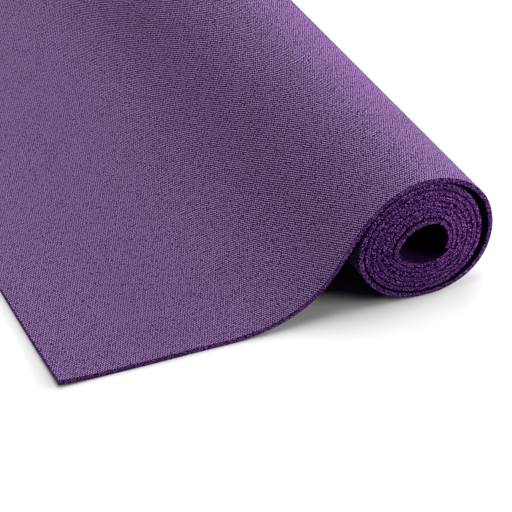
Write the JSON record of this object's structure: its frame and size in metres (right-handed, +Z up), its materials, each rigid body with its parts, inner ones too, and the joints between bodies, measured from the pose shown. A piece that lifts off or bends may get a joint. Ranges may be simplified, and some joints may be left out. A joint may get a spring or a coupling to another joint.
{
  "type": "yoga mat",
  "caption": "Part-unrolled foam yoga mat: a flat free end lifts in a smooth curve over a wound roll with an open oval core; textured top face, plain cut edges.",
  "frame": {"origin": "on the floor, under the middle of the part-unrolled mat's bounding box", "axes": "+X from the free edge towards the roll, +Y along the roll's length (away from the camera), +Z up"},
  "size_m": [0.3296, 0.66, 0.0964],
  "materials": {
    "top_foam": "matt closed-cell foam with a fine embossed weave texture",
    "scrim": "open woven polyester yarn",
    "bottom_foam": "matt closed-cell foam"
  },
  "bodies": {
    "root": {"top_foam_layer": "top_foam", "reinforcing_scrim": "scrim", "bottom_foam_layer": "bottom_foam"}
  },
  "joints": []
}
